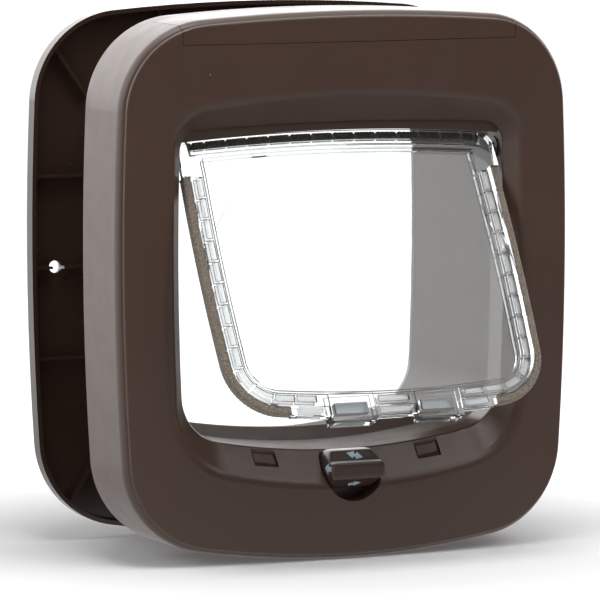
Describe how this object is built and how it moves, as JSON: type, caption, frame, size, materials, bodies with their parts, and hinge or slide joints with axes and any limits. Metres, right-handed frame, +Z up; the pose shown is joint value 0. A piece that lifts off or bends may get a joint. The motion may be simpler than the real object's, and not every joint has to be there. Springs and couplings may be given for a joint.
{
  "type": "cat flap",
  "caption": "Cat flap for a door: room-side case with a funnelled passage, clear swinging flap with brushes, turning lock dial, catches, battery bay and telescoping outer frame.",
  "frame": {"origin": "midway between the two door screws, on the case's face that meets the door", "axes": "+X to the right seen from the room, +Y through the door to the outside, +Z up"},
  "size_m": [0.244, 0.1716, 0.2648],
  "materials": {
    "brown_plastic": "satin moulded plastic, fine grain",
    "tunnel_plastic": "satin moulded plastic, smooth",
    "clear_plastic": "clear moulded plastic",
    "pile": "short woven pile",
    "magnet": "plated",
    "steel": "plain",
    "cell_wrap": "satin sleeve",
    "inner_plastic": "plain moulded plastic",
    "board": "lacquered board",
    "copper": "enamelled winding"
  },
  "bodies": {
    "case": {"front_bezel": "brown_plastic", "side_housing": "brown_plastic", "rear_housing": "brown_plastic", "case_screws": "steel", "tunnel_sleeve": "tunnel_plastic", "left_pivot_bush": "brown_plastic", "right_pivot_bush": "brown_plastic", "left_catch_spring": "steel", "right_catch_spring": "steel", "catch_shelf": "inner_plastic", "latch_motor": "steel", "left_sill_magnet": "magnet", "right_sill_magnet": "magnet", "battery_cell_1": "cell_wrap", "battery_cell_2": "cell_wrap", "battery_cell_3": "cell_wrap", "battery_cell_4": "cell_wrap", "left_contact": "steel", "right_contact": "steel", "battery_tray": "inner_plastic", "circuit_board": "board", "light_pipe": "clear_plastic", "aerial_coil": "copper"},
    "flap": {"flap_pane": "clear_plastic", "left_flap_magnet": "magnet", "right_flap_magnet": "magnet", "left_brush": "pile", "right_brush": "pile", "top_brush": "pile"},
    "dial": {"selector_dial": "brown_plastic", "dial_cam": "inner_plastic"},
    "left_catch": {"left_catch": "brown_plastic"},
    "right_catch": {"right_catch": "brown_plastic"},
    "cover": {"battery_cover": "brown_plastic"},
    "button": {"learn_button": "inner_plastic"},
    "outer": {"outer_frame": "brown_plastic", "tunnel_liner": "tunnel_plastic"}
  },
  "joints": [
    {"name": "flap_swing", "type": "hinge", "parent": "case", "child": "flap", "pos_m": [0, -0.029, 0.0598], "axis": [1, 0, 0], "range_deg": [-40, 100]},
    {"name": "dial_turn", "type": "hinge", "parent": "case", "child": "dial", "pos_m": [0, -0.048, -0.0923], "axis": [0, 1, 0], "range_deg": [-90, 180]},
    {"name": "left_catch_rise", "type": "slide", "parent": "case", "child": "left_catch", "axis": [0, 0, 1], "range_m": [0, 0.008], "stiffness_N_per_m": 60, "springref_m": -0.01, "deforming": ["left_catch_spring"]},
    {"name": "right_catch_rise", "type": "slide", "parent": "case", "child": "right_catch", "axis": [0, 0, 1], "range_m": [0, 0.008], "stiffness_N_per_m": 60, "springref_m": -0.01, "deforming": ["right_catch_spring"]},
    {"name": "cover_lift", "type": "slide", "parent": "case", "child": "cover", "axis": [0, 0, 1], "range_m": [0, 0.03]},
    {"name": "button_press", "type": "slide", "parent": "case", "child": "button", "axis": [0, 0, -1], "range_m": [0, 0.0012], "stiffness_N_per_m": 300, "springref_m": -0.001},
    {"name": "frame_slide", "type": "slide", "parent": "case", "child": "outer", "axis": [0, 1, 0], "range_m": [-0.02, 0.008]}
  ]
}
